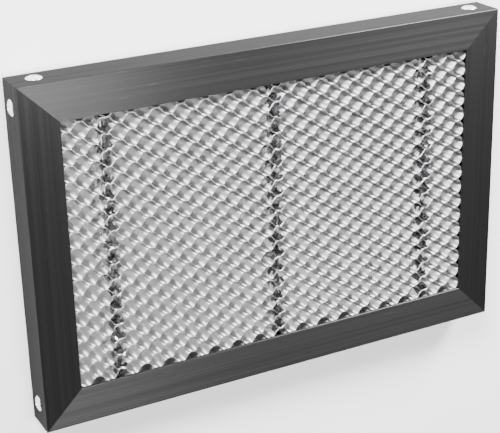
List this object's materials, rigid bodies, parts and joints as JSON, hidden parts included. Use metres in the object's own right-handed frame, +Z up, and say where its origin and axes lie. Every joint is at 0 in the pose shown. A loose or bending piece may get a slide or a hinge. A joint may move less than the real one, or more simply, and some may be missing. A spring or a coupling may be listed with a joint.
{
  "type": "honeycomb laser bed",
  "caption": "Flat rectangular laser cutter bed: folded metal foil ribbons make open cells inside a riveted, mitred aluminium frame.",
  "frame": {"origin": "centre of the underside, on the surface that the bed lies on", "axes": "+X along the long rails, +Y along the short rails, +Z up through the thickness"},
  "size_m": [0.303, 0.203, 0.022],
  "materials": {
    "frame": "dark satin anodised, brushed along the rail",
    "angle": "plain mill finish",
    "rivet": "bright",
    "rod": "drawn wire",
    "foil": "satin galvanised"
  },
  "bodies": {
    "root": {"rail_front": "frame", "rail_right": "frame", "rail_back": "frame", "rail_left": "frame", "corner_angle_front_left": "angle", "corner_angle_back_left": "angle", "corner_angle_front_right": "angle", "corner_angle_back_right": "angle", "corner_rivets": "rivet", "tie_rod_left": "rod", "tie_rod_centre": "rod", "tie_rod_right": "rod", "core_ribbon_01": "foil", "core_ribbon_02": "foil", "core_ribbon_03": "foil", "core_ribbon_04": "foil", "core_ribbon_05": "foil", "core_ribbon_06": "foil", "core_ribbon_07": "foil", "core_ribbon_08": "foil", "core_ribbon_09": "foil", "core_ribbon_10": "foil", "core_ribbon_11": "foil", "core_ribbon_12": "foil", "core_ribbon_13": "foil", "core_ribbon_14": "foil", "core_ribbon_15": "foil", "core_ribbon_16": "foil", "core_ribbon_17": "foil", "core_ribbon_18": "foil", "core_ribbon_19": "foil", "core_ribbon_20": "foil", "core_ribbon_21": "foil", "core_ribbon_22": "foil", "core_ribbon_23": "foil", "core_ribbon_24": "foil", "core_ribbon_25": "foil", "core_ribbon_26": "foil", "core_ribbon_27": "foil", "core_ribbon_28": "foil", "core_ribbon_29": "foil", "core_ribbon_30": "foil", "core_ribbon_31": "foil", "core_ribbon_32": "foil", "core_ribbon_33": "foil", "core_ribbon_34": "foil", "core_ribbon_35": "foil"}
  },
  "joints": []
}
